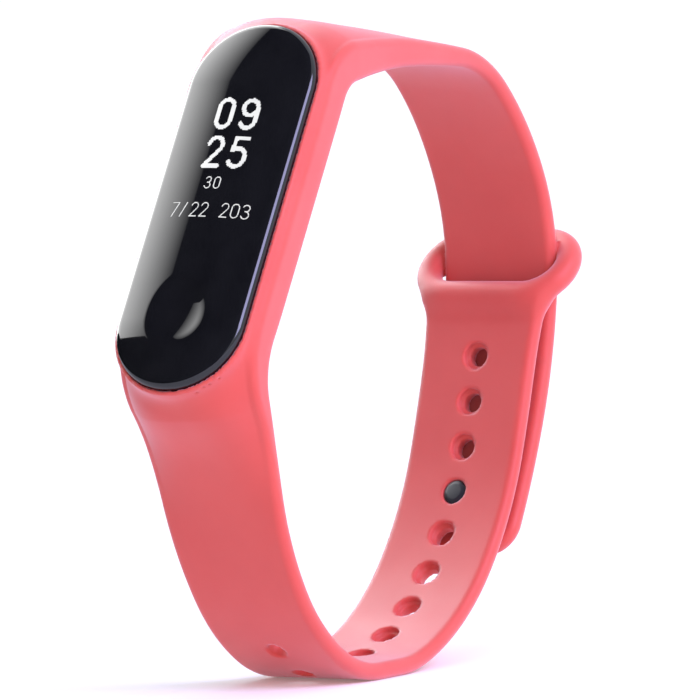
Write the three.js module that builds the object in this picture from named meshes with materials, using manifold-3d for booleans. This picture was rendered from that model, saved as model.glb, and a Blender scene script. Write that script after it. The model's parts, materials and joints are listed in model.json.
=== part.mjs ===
// Fitness tracker band: a pebble-shaped tracker capsule held in a one-piece silicone wrist band,
// fastened, standing on the bottom of its loop. Millimetres, +Z up. X runs from the tracker to the
// clasp, Y across the band. The origin is under the middle of the object, on the surface it stands on.
import * as THREE from 'three';
import { mergeVertices } from 'three/addons/utils/BufferGeometryUtils.js';
import Module from 'manifold-3d';

// ---------------------------------------------------------------- driving dimensions

// Tracker capsule, in its own axes: x up its length, y across, z out of the wrist.
// z = 0 is the skin side of the band's frame.
const GLASS_LENGTH = 46;
const GLASS_WIDTH = 16.2;
const RIM_Z = 5.4;
const GLASS_RISE = 1.9;
const GLASS_EDGE = 0.9;
const GLASS_WALL = 0.9;
const TOUCH_X = -14.2;
const TOUCH_RADIUS = 4.4;
const TOUCH_DEPTH = 0.75;
const LEDGE_Z = 2.4;
const HOUSING_INSET = 0.3;
const HOUSING_WALL = 0.9;
const BELLY_LENGTH = 37;
const BELLY_WIDTH = 12.4;
const BELLY_Z = -4.4;
const BOARD_LENGTH = 42;
const BOARD_WIDTH = 12.4;
const BOARD_Z = 3.5;
const BOARD_THICKNESS = 0.8;
const CHIP_HEIGHT = 0.4;
const SEAL_HEIGHT = 0.5;
const GAP = 0.3;

// What the capsule holds, in the same axes
const SCREEN_X = 4.8;
const SCREEN_LENGTH = 23;
const SCREEN_WIDTH = 10.6;
const SCREEN_THICKNESS = 0.6;
const BATTERY_X = 7.9;
const BATTERY_LENGTH = 14;
const BATTERY_WIDTH = 7.8;
const PAD_HEIGHT = 0.4;
const MOTOR_X = -16.9;
const MOTOR_Z = -0.4;
const MOTOR_RADIUS = 2;
const MOTOR_BORE = 0.6;
const SENSOR_X = -5;
const WINDOW_THICKNESS = 0.9;
const LED_OFFSET = 2.4;
const PIN_X = -13.4;
const PIN_Y = 2.6;

// How the capsule sits in the loop: its lean from upright, and the slight twist of the soft band.
const LEAN = THREE.MathUtils.degToRad(31.3);
const TWIST = THREE.MathUtils.degToRad(4);
const FRAME_CENTRE = new THREE.Vector3(1.03, 0, -0.62);

// Band
const BAND_THICKNESS = 2;
const BAND_HALF_WIDTH = 7.65;
const EDGE_ROUND = 0.9;
const LIP_WALL = 0.4;
const LIP_ROUND = 0.25;
const LOWER_START = 13.6;
const UPPER_START = 15;

// The skin-side line of each arm, from the frame outwards, as [length, turn in degrees] arcs.
const LONG_ARM = [
  [7.3, 49.4], [11.9, -3.6], [12, 17.4], [10.3, 26.1], [7.9, 32],
  [4, 0], [4.3, 17.8], [15.4, 30.7], [15, 21.2], [12, 3.8], [5.7, 0],
];
const SHORT_ARM = [
  [1.6, 0], [4.4, -46.8], [13.4, -13], [10, -6.5], [9.2, -38.4],
  [13, -21.8], [13.2, -30.3], [15.1, -13.7], [17, -10],
];

// How each arm changes along its line, as [distance, value] knots.
const LONG_HALF_WIDTH = [[0, 9.2], [5.6, 8.9], [9.5, 8.6], [14, 8.2], [20, 7.9], [30, BAND_HALF_WIDTH],
  [101, BAND_HALF_WIDTH], [106, 8.2]];
const LONG_EDGE = [[0, 4.6], [5.6, 3.5], [9.5, 2.2], [14, 2.05], [20, BAND_THICKNESS]];
const LONG_CROWN = [[0, 0.2], [5.6, 4.4], [9.5, 2.6], [14, 1.1], [22, 0]];
const SHORT_HALF_WIDTH = [[0, 9.2], [5, 8.9], [9, 8.6], [14, 8.3], [22, 8.15], [32, 8.05], [42, 7.8],
  [52, BAND_HALF_WIDTH]];
const SHORT_EDGE = [[0, 4.6], [5, 5.3], [9, 4.3], [14, 3.7], [20, 3.1], [26, 2.5], [34, BAND_THICKNESS]];
const SHORT_CROWN = [[0, 0.2], [5, 2.2], [9, 1.3], [14, 0.6], [22, 0]];
const LONG_TWIST = [[0, 4], [20, 1.5], [36, 0]];
const SHORT_TWIST = [[0, 4], [8, 7], [22, 8], [38, 5], [52, 0]];

// Holes, keeper ring, tail and clasp
const HOLE_COUNT = 12;
const FIRST_HOLE = 38.8;
const HOLE_PITCH = 5.5;
const STUD_HOLE = 8;
const HOLE_RADIUS = 1.3;
const COUNTERBORE_RADIUS = 1.6;
const COUNTERBORE_DEPTH = 0.7;
const STRETCHED_RADIUS = 1.75;
const LONG_END = 105.3;
const RING_ROD = 1.5;
const RING_STRAIGHT = 10;
const RING_INNER = new THREE.Vector3(50.65, 0, -11.6);
const RING_OUTER = new THREE.Vector3(57.25, 0, -5.9);
const TAIL_START = 68.4;
const TAIL_FLEX = 78.2;
const TAIL_END = 96.9;
const TAIL_CORNER = 4;
const FLEX_WEDGE = THREE.MathUtils.degToRad(10);
const STUD_HEAD_RADIUS = 1.42;
const STUD_HEAD = 0.65;
const STUD_RADIUS = 0.9;
const STUD_LENGTH = 5.3;
const CAP_RADIUS = 4;
const CAP_THICKNESS = 1.3;
const CAP_LIFT = 4.8;

// Finishes
const SILICONE = { color: 0xf0707c, roughness: 0.6, metalness: 0 };
const GLASS_BLACK = { color: 0x0c0c0e, roughness: 0.08, metalness: 0 };
const SHELL_BLACK = { color: 0x1a1a1c, roughness: 0.4, metalness: 0 };
const SCREEN = { color: 0x10141c, roughness: 0.2, metalness: 0 };
const BOARD_GREEN = { color: 0x1d4a2c, roughness: 0.5, metalness: 0 };
const CHIP = { color: 0x222226, roughness: 0.45, metalness: 0 };
const STEEL = { color: 0xb9bcc0, roughness: 0.3, metalness: 1 };
const GOLD = { color: 0xd8b25a, roughness: 0.3, metalness: 1 };
const FOIL = { color: 0xc9ccd0, roughness: 0.35, metalness: 0.9 };
const AMBER = { color: 0xb5702c, roughness: 0.5, metalness: 0 };
const FOAM = { color: 0x3a3a3c, roughness: 0.95, metalness: 0 };
const LED_GREEN = { color: 0x9fe8a0, roughness: 0.3, metalness: 0 };
const STUD_BLACK = { color: 0x232529, roughness: 0.45, metalness: 0.2 };

// ---------------------------------------------------------------- solids

const wasm = await Module();
wasm.setup();

function toSolid(geometry) {
  const plain = geometry.index ? geometry.toNonIndexed() : geometry.clone();
  plain.deleteAttribute('normal');
  plain.deleteAttribute('uv');
  const merged = mergeVertices(plain, 1e-4);
  const vertProperties = new Float32Array(merged.attributes.position.array);
  const triVerts = new Uint32Array(merged.index.array);
  return new wasm.Manifold(new wasm.Mesh({ numProp: 3, vertProperties, triVerts }));
}

function toGeometry(solid) {
  const mesh = solid.getMesh();
  const geometry = new THREE.BufferGeometry();
  geometry.setAttribute('position', new THREE.BufferAttribute(new Float32Array(mesh.vertProperties), 3));
  geometry.setIndex(new THREE.BufferAttribute(new Uint32Array(mesh.triVerts), 1));
  geometry.computeVertexNormals();
  return geometry;
}

function cut(geometry, ...tools) {
  return toGeometry(tools.reduce((body, tool) => body.subtract(toSolid(tool)), toSolid(geometry)));
}

function join(geometry, ...others) {
  return toGeometry(others.reduce((body, other) => body.add(toSolid(other)), toSolid(geometry)));
}

function keep(geometry, region) {
  return toGeometry(toSolid(geometry).intersect(toSolid(region)));
}

function part(parent, name, geometry, finish) {
  const mesh = new THREE.Mesh(geometry, new THREE.MeshStandardMaterial(finish));
  mesh.name = name;
  parent.add(mesh);
  return mesh;
}

// ---------------------------------------------------------------- plain shapes

function stadium(length, width) {
  const reach = (length - width) / 2;
  const shape = new THREE.Shape();
  shape.absarc(reach, 0, width / 2, -Math.PI / 2, Math.PI / 2, false);
  shape.absarc(-reach, 0, width / 2, Math.PI / 2, Math.PI * 1.5, false);
  return shape;
}

// A stadium slab from z = low to z = high.
function slab(length, width, low, high, curveSegments = 12) {
  const options = { depth: high - low, bevelEnabled: false, curveSegments };
  return new THREE.ExtrudeGeometry(stadium(length, width), options).translate(0, 0, low);
}

// A stadium slab whose top edge is rounded by an elliptical quarter: inward by size, down by drop.
function domedSlab(length, width, low, high, size, drop, steps) {
  const options = {
    depth: high - low,
    bevelEnabled: true,
    bevelThickness: drop,
    bevelSize: size,
    bevelOffset: -size,
    bevelSegments: steps,
    curveSegments: 12,
  };
  const full = new THREE.ExtrudeGeometry(stadium(length, width), options).translate(0, 0, low);
  return keep(full, block(length + 2, width + 2, low, high + drop + 1));
}

function block(length, width, low, high, x = 0, y = 0) {
  return new THREE.BoxGeometry(length, width, high - low).translate(x, y, (low + high) / 2);
}

// A solid of revolution about z, from [radius, z] points on one closed side profile.
function turned(points, sides = 16) {
  return new THREE.LatheGeometry(points.map(([r, z]) => new THREE.Vector2(r, z)), sides)
    .rotateX(Math.PI / 2);
}

function rod(radius, low, high, sides = 16) {
  return turned([[0, low], [radius, low], [radius, high], [0, high]], sides);
}

// A closed skin over a row of equal rings of points.
function loft(rings) {
  const count = rings[0].length;
  const centre = (ring) => ring.reduce((sum, p) => sum.add(p), new THREE.Vector3()).divideScalar(count);
  const vertices = [...rings.flat(), centre(rings[0]), centre(rings.at(-1))];
  const index = [];
  for (let i = 0; i + 1 < rings.length; i += 1) {
    for (let j = 0; j < count; j += 1) {
      const a = i * count + j;
      const b = i * count + (j + 1) % count;
      index.push(a, b, b + count, a, b + count, a + count);
    }
  }
  const last = (rings.length - 1) * count;
  for (let j = 0; j < count; j += 1) {
    const next = (j + 1) % count;
    index.push(next, j, vertices.length - 2);
    index.push(last + j, last + next, vertices.length - 1);
  }
  const geometry = new THREE.BufferGeometry().setFromPoints(vertices);
  geometry.setIndex(index);
  return geometry;
}

// ---------------------------------------------------------------- band line and sections

function between(knots, distance) {
  const next = knots.findIndex(([at]) => at >= distance);
  if (next === 0) return knots[0][1];
  if (next < 0) return knots.at(-1)[1];
  const [[from, low], [to, high]] = [knots[next - 1], knots[next]];
  return THREE.MathUtils.mapLinear(distance, from, to, low, high);
}

// Point and heading on an arm's skin-side line. Side is +1 for the upper arm, -1 for the lower.
function along(arm, distance) {
  let heading = arm.side > 0 ? Math.PI / 2 - LEAN : -Math.PI / 2 - LEAN;
  let x = FRAME_CENTRE.x + Math.cos(heading) * arm.start;
  let z = FRAME_CENTRE.z + Math.sin(heading) * arm.start;
  let left = distance;
  if (left < 0) {
    return { x: x + Math.cos(heading) * left, z: z + Math.sin(heading) * left, heading };
  }
  for (const [length, turn] of arm.arcs) {
    const step = Math.min(left, length);
    const bend = THREE.MathUtils.degToRad(turn) * step / length;
    const chord = Math.abs(bend) < 1e-9 ? step : 2 * step / bend * Math.sin(bend / 2);
    x += chord * Math.cos(heading + bend / 2);
    z += chord * Math.sin(heading + bend / 2);
    heading += bend;
    left -= step;
  }
  return { x, z, heading };
}

// Axes at a place on an arm: its skin-side point, outward and across directions.
function axesAt(arm, distance, tilt = 0) {
  const { x, z, heading } = along(arm, distance);
  const facing = heading + arm.side * Math.PI / 2 + tilt;
  const outward = new THREE.Vector3(Math.cos(facing), 0, Math.sin(facing));
  const across = new THREE.Vector3(0, 1, 0);
  const twist = THREE.MathUtils.degToRad(between(arm.twist, distance));
  return {
    point: new THREE.Vector3(x, 0, z),
    outward: outward.clone().multiplyScalar(Math.cos(twist)).addScaledVector(across, -Math.sin(twist)),
    across: across.clone().multiplyScalar(Math.cos(twist)).addScaledVector(outward, Math.sin(twist)),
  };
}

// Cross-section of a band: flat skin side, rounded edges and a crowned outer side.
function section(axes, half, edge, crown) {
  const round = Math.min(EDGE_ROUND, edge / 2 - 0.05);
  const flat = half - round;
  const points = [];
  for (const turn of [0, 45, 90]) {
    const angle = THREE.MathUtils.degToRad(turn);
    points.push([flat + round * Math.sin(angle), round - round * Math.cos(angle)]);
  }
  for (const turn of [0, 45]) {
    const angle = THREE.MathUtils.degToRad(turn);
    points.push([flat + round * Math.cos(angle), edge - round + round * Math.sin(angle)]);
  }
  for (const share of [1, 0.8, 0.5, 0]) {
    points.push([flat * share, edge + crown * (1 - share ** 3)]);
  }
  const mirrored = points.slice(0, -1).reverse().map(([y, z]) => [-y, z]);
  return [...points, ...mirrored].map(([y, z]) => axes.point.clone()
    .addScaledVector(axes.across, y).addScaledVector(axes.outward, z));
}

function stations(arm, from, to) {
  const places = [from];
  let start = 0;
  for (const [length, turn] of [[0, 0], ...arm.arcs]) {
    const steps = Math.max(1, Math.ceil(Math.abs(turn) / 8), Math.ceil(length / 4));
    for (let i = 1; i <= steps; i += 1) {
      const place = start + length * i / steps;
      if (place > places.at(-1) + 0.4 && place < to - 0.4) places.push(place);
    }
    start += length;
  }
  return [...places, to];
}

// A length of band. startTilt and endTilt lean its end faces over for a flex line.
function strap(arm, from, to, startTilt = 0, endTilt = 0) {
  const places = stations(arm, from, to);
  const rings = places.map((place, i) => {
    const tilt = (i === 0 ? startTilt : 0) + (i === places.length - 1 ? endTilt : 0);
    const edge = between(arm.edge, place);
    const half = between(arm.halfWidth, place);
    return section(axesAt(arm, place, tilt), half, edge, between(arm.crown, place));
  });
  return loft(arm.side > 0 ? rings : rings.reverse());
}

function placed(geometry, point, outward, across) {
  const forward = new THREE.Vector3().crossVectors(across, outward);
  const matrix = new THREE.Matrix4().makeBasis(forward, across, outward).setPosition(point);
  return geometry.applyMatrix4(matrix);
}

const longArm = {
  side: -1,
  start: LOWER_START,
  arcs: LONG_ARM,
  halfWidth: LONG_HALF_WIDTH,
  edge: LONG_EDGE,
  crown: LONG_CROWN,
  twist: LONG_TWIST,
};
const shortArm = {
  side: 1,
  start: UPPER_START,
  arcs: SHORT_ARM,
  halfWidth: [...SHORT_HALF_WIDTH, ...tipCorner()],
  edge: SHORT_EDGE,
  crown: SHORT_CROWN,
  twist: SHORT_TWIST,
};

// The tail's tip: its width follows two quarter circles.
function tipCorner() {
  return [0, 0.35, 0.65, 0.85, 0.96].map((share) => {
    const narrowing = TAIL_CORNER * (1 - Math.sqrt(1 - share * share));
    return [TAIL_END - TAIL_CORNER * (1 - share), BAND_HALF_WIDTH - narrowing];
  });
}

// ---------------------------------------------------------------- band pieces

// Stepped hole: the wider step is on the skin side.
function holeTool(place, radius, counterbore) {
  const profile = [[0, -1], [counterbore, -1], [counterbore, COUNTERBORE_DEPTH],
    [radius, COUNTERBORE_DEPTH], [radius, 4], [0, 4]];
  const { point, outward, across } = axesAt(longArm, place);
  return placed(turned(profile, 14), point, outward, across);
}

function keeperRing() {
  const middle = RING_INNER.clone().add(RING_OUTER).multiplyScalar(0.5);
  const rise = RING_OUTER.clone().sub(RING_INNER);
  const bend = rise.length() / 2;
  const up = rise.normalize();
  const spot = (y, e) => middle.clone().addScaledVector(up, e * bend).setY(y);
  const reach = RING_STRAIGHT / 2;
  const points = [];
  for (const end of [1, -1]) {
    for (let i = 0; i <= 8; i += 1) {
      const angle = Math.PI * i / 8;
      points.push(spot(end * (reach + bend * Math.sin(angle)), -end * Math.cos(angle)));
    }
  }
  const rings = [];
  const normal = new THREE.Vector3().crossVectors(up, new THREE.Vector3(0, 1, 0));
  points.forEach((point, i) => {
    const tangent = points[(i + 1) % points.length].clone().sub(points.at(i - 1)).normalize();
    const side = new THREE.Vector3().crossVectors(tangent, normal).normalize();
    const ring = [];
    for (let k = 0; k < 10; k += 1) {
      const angle = 2 * Math.PI * k / 10;
      ring.push(point.clone().addScaledVector(side, RING_ROD * Math.cos(angle))
        .addScaledVector(normal, RING_ROD * Math.sin(angle)));
    }
    rings.push(ring);
  });
  return closedLoop(rings);
}

// A closed skin over rings that run round a loop.
function closedLoop(rings) {
  const count = rings[0].length;
  const index = [];
  for (let i = 0; i < rings.length; i += 1) {
    for (let j = 0; j < count; j += 1) {
      const a = i * count + j;
      const b = i * count + (j + 1) % count;
      const c = ((i + 1) % rings.length) * count + (j + 1) % count;
      const d = ((i + 1) % rings.length) * count + j;
      index.push(a, b, c, a, c, d);
    }
  }
  const geometry = new THREE.BufferGeometry().setFromPoints(rings.flat());
  geometry.setIndex(index);
  return geometry;
}

function wristBand(frameMatrix) {
  const longStrap = strap(longArm, -LOWER_START - 1, LONG_END);
  const shortStrap = strap(shortArm, -UPPER_START, TAIL_START - GAP / 2, 0, FLEX_WEDGE);
  const lipLength = GLASS_LENGTH + 2 * (GAP + LIP_WALL);
  const lipWidth = GLASS_WIDTH + 2 * (GAP + LIP_WALL);
  const lip = domedSlab(lipLength, lipWidth, LEDGE_Z, RIM_Z - LIP_ROUND, LIP_ROUND, LIP_ROUND, 2)
    .applyMatrix4(frameMatrix);
  const pocket = slab(GLASS_LENGTH + 2 * GAP, GLASS_WIDTH + 2 * GAP, LEDGE_Z, RIM_Z + 9)
    .applyMatrix4(frameMatrix);
  const window = slab(BELLY_LENGTH + 2 * GAP, BELLY_WIDTH + 2 * GAP, BELLY_Z - 2, RIM_Z)
    .applyMatrix4(frameMatrix);
  const holes = [];
  for (let i = 0; i < HOLE_COUNT; i += 1) {
    const place = FIRST_HOLE + i * HOLE_PITCH;
    const stretched = i === STUD_HOLE;
    holes.push(holeTool(place, stretched ? STRETCHED_RADIUS : HOLE_RADIUS,
      stretched ? STRETCHED_RADIUS : COUNTERBORE_RADIUS));
  }
  return cut(join(longStrap, shortStrap, lip, keeperRing()), pocket, window, ...holes);
}

function studAxes() {
  return axesAt(longArm, FIRST_HOLE + STUD_HOLE * HOLE_PITCH);
}

function studTool() {
  const { point, outward, across } = studAxes();
  return placed(rod(STUD_RADIUS + GAP, 1, CAP_LIFT + 4, 14), point, outward, across);
}

function tailStrap() {
  return strap(shortArm, TAIL_START + GAP / 2, TAIL_FLEX - GAP / 2, -FLEX_WEDGE, FLEX_WEDGE);
}

function tailTip() {
  return cut(strap(shortArm, TAIL_FLEX + GAP / 2, TAIL_END - 0.15, -FLEX_WEDGE, 0), studTool());
}

// ---------------------------------------------------------------- clasp

function buildClasp(parent) {
  const { point, outward, across } = studAxes();
  const stud = turned([[0, 0.02], [1, 0.02], [1.2, 0.16], [STUD_HEAD_RADIUS - 0.15, 0.2],
    [STUD_HEAD_RADIUS, 0.36], [STUD_HEAD_RADIUS, STUD_HEAD], [STUD_RADIUS, STUD_HEAD + 0.2],
    [STUD_RADIUS, STUD_LENGTH], [0, STUD_LENGTH]], 18);
  part(parent, 'clasp_stud', placed(stud, point, outward, across), STUD_BLACK);
  const bore = STUD_RADIUS + GAP;
  const cap = turned([[bore, CAP_LIFT], [CAP_RADIUS, CAP_LIFT], [CAP_RADIUS, CAP_LIFT + 0.8],
    [CAP_RADIUS - 0.5, CAP_LIFT + CAP_THICKNESS], [0, CAP_LIFT + CAP_THICKNESS + 0.2],
    [0, STUD_LENGTH + GAP], [bore, STUD_LENGTH + GAP], [bore, CAP_LIFT]], 20);
  part(parent, 'clasp_cap', placed(cap, point, outward, across), STUD_BLACK);
}

// ---------------------------------------------------------------- capsule shell

// The shallow ball-shaped hollow of the touch key.
function dimpleTool() {
  const ball = (TOUCH_RADIUS ** 2 + TOUCH_DEPTH ** 2) / (2 * TOUCH_DEPTH);
  const low = RIM_Z + GLASS_RISE - TOUCH_DEPTH;
  const reach = TOUCH_RADIUS + 0.8;
  const steps = 6;
  const points = [];
  for (let i = 0; i <= steps; i += 1) {
    const r = reach * i / steps;
    points.push([r, low + ball - Math.sqrt(ball ** 2 - r ** 2)]);
  }
  return turned([...points, [reach, low + 3], [0, low + 3]], 24).translate(TOUCH_X, 0, 0);
}

function buildShell(parent) {
  const top = RIM_Z + GLASS_EDGE;
  const outer = domedSlab(GLASS_LENGTH, GLASS_WIDTH, RIM_Z - 0.3, top, 4.2, GLASS_RISE - GLASS_EDGE, 5);
  const hollow = domedSlab(GLASS_LENGTH - 2 * GLASS_WALL, GLASS_WIDTH - 2 * GLASS_WALL, RIM_Z - 1,
    top - 0.2, 4.2, GLASS_RISE - GLASS_EDGE - GLASS_WALL + 0.2, 4);
  const boss = rod(TOUCH_RADIUS + 0.6, RIM_Z + 0.6, RIM_Z + GLASS_RISE - 0.6, 20).translate(TOUCH_X, 0, 0);
  part(parent, 'lens_cover', cut(join(cut(outer, hollow), boss), dimpleTool()), GLASS_BLACK);

  const sealTop = RIM_Z - 0.6;
  const inset = 2 * HOUSING_INSET;
  const seal = cut(slab(GLASS_LENGTH - inset, GLASS_WIDTH - inset, sealTop - SEAL_HEIGHT, sealTop, 8),
    slab(GLASS_LENGTH - 2.4, GLASS_WIDTH - 2.4, 0, 9, 8));
  part(parent, 'lens_seal', seal, FOAM);

  const shellTop = sealTop - SEAL_HEIGHT - GAP;
  const shelf = LEDGE_Z + GAP;
  const upper = slab(GLASS_LENGTH - inset, GLASS_WIDTH - inset, shelf, shellTop);
  const belly = domedSlab(BELLY_LENGTH, BELLY_WIDTH, 0, -BELLY_Z - 1.6, 2.4, 1.6, 3)
    .rotateX(Math.PI);
  const bellyTop = slab(BELLY_LENGTH, BELLY_WIDTH, -0.01, shelf + 0.2);
  const wall = 2 * HOUSING_WALL;
  const upperRoom = slab(GLASS_LENGTH - inset - wall, GLASS_WIDTH - inset - wall, shelf + 0.7, 9);
  const bellyRoom = slab(BELLY_LENGTH - wall, BELLY_WIDTH - wall - 1.6, BELLY_Z + 0.9, 9);
  const windowHole = rod(4.3, BELLY_Z - 3, 0, 24).translate(SENSOR_X, 0, 0);
  const pinHoles = [1, -1].map((side) => rod(1, BELLY_Z - 1, 0, 12).translate(PIN_X, side * PIN_Y, 0));
  const shell = cut(join(upper, belly, bellyTop), upperRoom, bellyRoom, windowHole, ...pinHoles);
  part(parent, 'capsule_housing', shell, SHELL_BLACK);

  for (const [name, side] of [['charge_pin_left', 1], ['charge_pin_right', -1]]) {
    const pin = turned([[0, BELLY_Z - 0.05], [0.7, BELLY_Z - 0.05], [0.7, BELLY_Z + 1.2],
      [1.2, BELLY_Z + 1.2], [1.2, BELLY_Z + 1.5], [0, BELLY_Z + 1.5]], 12);
    part(parent, name, pin, GOLD).position.set(PIN_X, side * PIN_Y, 0);
  }
}

// ---------------------------------------------------------------- display and touch key

function buildDisplay(parent) {
  const under = RIM_Z + 0.2;
  const tray = cut(block(SCREEN_LENGTH + 1.8, SCREEN_WIDTH + 1.8, under - 0.6, under + 0.2, SCREEN_X),
    block(SCREEN_LENGTH + 0.6, SCREEN_WIDTH + 0.6, under - 0.3, under + 2, SCREEN_X));
  part(parent, 'display_tray', tray, SHELL_BLACK);
  const panel = block(SCREEN_LENGTH, SCREEN_WIDTH, under, under + SCREEN_THICKNESS, SCREEN_X);
  part(parent, 'display_panel', panel, SCREEN);
  const ribbon = block(0.2, 6, BOARD_Z + 1.4, under + 0.5, SCREEN_X - SCREEN_LENGTH / 2 - 1.4);
  const foot = block(2.2, 6, BOARD_Z + 1.2, BOARD_Z + 1.4, SCREEN_X - SCREEN_LENGTH / 2 - 2.4);
  part(parent, 'display_ribbon', join(ribbon, foot), AMBER);
  const plate = rod(3.6, RIM_Z - 0.2, RIM_Z + 0.2, 20);
  const stem = block(1.2, 1.2, BOARD_Z + 1.1, RIM_Z - 0.1, 1.8);
  part(parent, 'touch_pad', join(plate, stem), GOLD).position.set(TOUCH_X - 2.5, 0, 0);
}

// ---------------------------------------------------------------- main board

function buildBoard(parent) {
  const deck = slab(BOARD_LENGTH, BOARD_WIDTH, BOARD_Z, BOARD_Z + BOARD_THICKNESS, 8);
  const holes = [-1, 1].map((end) => rod(0.8, 0, 9, 10).translate(end * 18.6, -end * 3.4, 0));
  part(parent, 'main_board', cut(deck, ...holes), BOARD_GREEN);
  const top = BOARD_Z + BOARD_THICKNESS + GAP;
  const under = BOARD_Z - GAP;
  const chips = [
    ['connector_block', -8.4, 0, 1.8, 7, top, top + 0.1, CHIP],
    ['system_chip', 14, 0, 5, 5, top, top + CHIP_HEIGHT, CHIP],
    ['radio_chip', 7.5, 2.4, 3.2, 3.2, top, top + CHIP_HEIGHT, CHIP],
    ['memory_chip', 7.5, -2.6, 4, 2.6, top, top + CHIP_HEIGHT, CHIP],
    ['clock_crystal', 2.6, 2.8, 2, 1.2, top, top + CHIP_HEIGHT, STEEL],
    ['chip_antenna', 0.2, -4, 1.2, 3.2, top, top + CHIP_HEIGHT, AMBER],
    ['motion_sensor', -5.6, -3.2, 2.5, 2, under - 0.5, under, CHIP],
    ['charge_chip', -5.6, 3.2, 2, 2, under - 0.5, under, CHIP],
  ];
  for (const [name, x, y, length, width, low, high, finish] of chips) {
    part(parent, name, block(length, width, low, high, x, y), finish);
  }
}

// ---------------------------------------------------------------- battery

function buildBattery(parent) {
  const base = BELLY_Z + 0.9 + GAP;
  part(parent, 'battery_pad', block(BATTERY_LENGTH - 1, 6.6, base, base + PAD_HEIGHT, BATTERY_X), FOAM);
  const cell = new THREE.ExtrudeGeometry(roundedRectangle(BATTERY_LENGTH, BATTERY_WIDTH, 0.8), {
    depth: 3.2,
    bevelEnabled: true,
    bevelThickness: 0.3,
    bevelSize: 0.3,
    bevelOffset: -0.3,
    bevelSegments: 1,
    curveSegments: 3,
  });
  part(parent, 'battery_cell', cell, FOIL).position.set(BATTERY_X, 0, base + PAD_HEIGHT + GAP + 0.3);
  part(parent, 'battery_guard_board', block(0.6, 5.4, base + PAD_HEIGHT, base + 3.4,
    BATTERY_X + BATTERY_LENGTH / 2 + 0.9), BOARD_GREEN);
}

function roundedRectangle(length, width, radius) {
  const shape = new THREE.Shape();
  const [x, y] = [length / 2 - radius, width / 2 - radius];
  shape.absarc(x, -y, radius, -Math.PI / 2, 0, false);
  shape.absarc(x, y, radius, 0, Math.PI / 2, false);
  shape.absarc(-x, y, radius, Math.PI / 2, Math.PI, false);
  shape.absarc(-x, -y, radius, Math.PI, Math.PI * 1.5, false);
  return shape;
}

// ---------------------------------------------------------------- vibration motor

// The motor lies along x: can, end cap, and a shaft that carries the off-centre weight.
function buildMotor(parent) {
  const motor = new THREE.Group();
  motor.position.set(MOTOR_X, 0, MOTOR_Z);
  motor.rotation.y = Math.PI / 2;
  parent.add(motor);
  const can = turned([[MOTOR_BORE, 3.4], [MOTOR_RADIUS - 0.2, 3.4], [MOTOR_RADIUS, 3.6],
    [MOTOR_RADIUS, 6.6], [1.7, 6.6], [1.7, 4], [MOTOR_BORE, 4], [MOTOR_BORE, 3.4]], 20);
  part(motor, 'motor_can', can, STEEL);
  const cap = turned([[MOTOR_BORE, 6.9], [MOTOR_RADIUS, 6.9], [MOTOR_RADIUS, 7.5], [0, 7.5], [0, 7.2],
    [MOTOR_BORE, 7.2], [MOTOR_BORE, 6.9]], 20);
  part(motor, 'motor_end_cap', cap, CHIP);
  part(motor, 'motor_shaft', join(rod(0.35, 0.2, 7, 12), rod(1.3, 4.4, 6.2, 14)), STEEL);
  const half = new THREE.Shape();
  half.absarc(0, 0, 1.8, 0, Math.PI, false);
  half.lineTo(-0.7, -0.3);
  half.lineTo(0.7, -0.3);
  const weight = new THREE.ExtrudeGeometry(half, { depth: 2.4, bevelEnabled: false, curveSegments: 10 });
  part(motor, 'motor_weight', cut(weight, rod(0.55, -1, 4, 12)), STEEL).position.z = 0.5;
}

// ---------------------------------------------------------------- optical heart-rate sensor

function buildSensor(parent) {
  const sensor = new THREE.Group();
  sensor.position.set(SENSOR_X, 0, BELLY_Z);
  parent.add(sensor);
  const window = turned([[0, -0.8], [3, -0.8], [4, -0.3], [4, 0.5], [0, 0.5]], 28);
  part(sensor, 'sensor_window', window, GLASS_BLACK);
  const deck = WINDOW_THICKNESS + GAP;
  const baffle = cut(block(7, 6.4, deck, deck + 1.1), block(1.8, 3.2, 0, 3),
    block(1.6, 2.2, 0, 3, LED_OFFSET), block(1.6, 2.2, 0, 3, -LED_OFFSET));
  part(sensor, 'light_baffle', baffle, SHELL_BLACK);
  part(sensor, 'photodiode', block(1.2, 2.6, deck + 0.6, deck + 1.1), SCREEN);
  part(sensor, 'green_led_upper', block(1, 1.6, deck + 0.6, deck + 1.1, LED_OFFSET), LED_GREEN);
  part(sensor, 'green_led_lower', block(1, 1.6, deck + 0.6, deck + 1.1, -LED_OFFSET), LED_GREEN);
  part(sensor, 'sensor_board', block(7.4, 7, deck + 1.4, deck + 1.9), BOARD_GREEN);
}

// ---------------------------------------------------------------- assembly

const assembly = new THREE.Group();

const tracker = new THREE.Group();
tracker.position.copy(FRAME_CENTRE);
tracker.rotation.set(TWIST, LEAN - Math.PI / 2, 0, 'YXZ');
tracker.updateMatrix();
assembly.add(tracker);

part(assembly, 'wrist_band', wristBand(tracker.matrix), SILICONE);
part(assembly, 'tail_strap', tailStrap(), SILICONE);
part(assembly, 'tail_tip', tailTip(), SILICONE);
buildClasp(assembly);
buildShell(tracker);
buildDisplay(tracker);
buildBoard(tracker);
buildBattery(tracker);
buildMotor(tracker);
buildSensor(tracker);

// Stand the object on z = 0, centred under its own box.
const box = new THREE.Box3().setFromObject(assembly, true);
const middle = box.getCenter(new THREE.Vector3());
assembly.position.set(-middle.x, -middle.y, -box.min.z);

const group = new THREE.Group();
group.add(assembly);
export default group;
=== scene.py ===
"""Fitness tracker band: the visual model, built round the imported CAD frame.

The frame's axes hold throughout: +Z up, +X from the tracker to the clasp, +Y across the band.
The silicone, the tracker's shell and its glass are distance fields, negative inside, worked out
in millimetres and turned into meshes in metres.
"""

import itertools
import json
import math

import bmesh
import bpy
import numpy as np
from mathutils import Matrix, Vector


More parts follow.
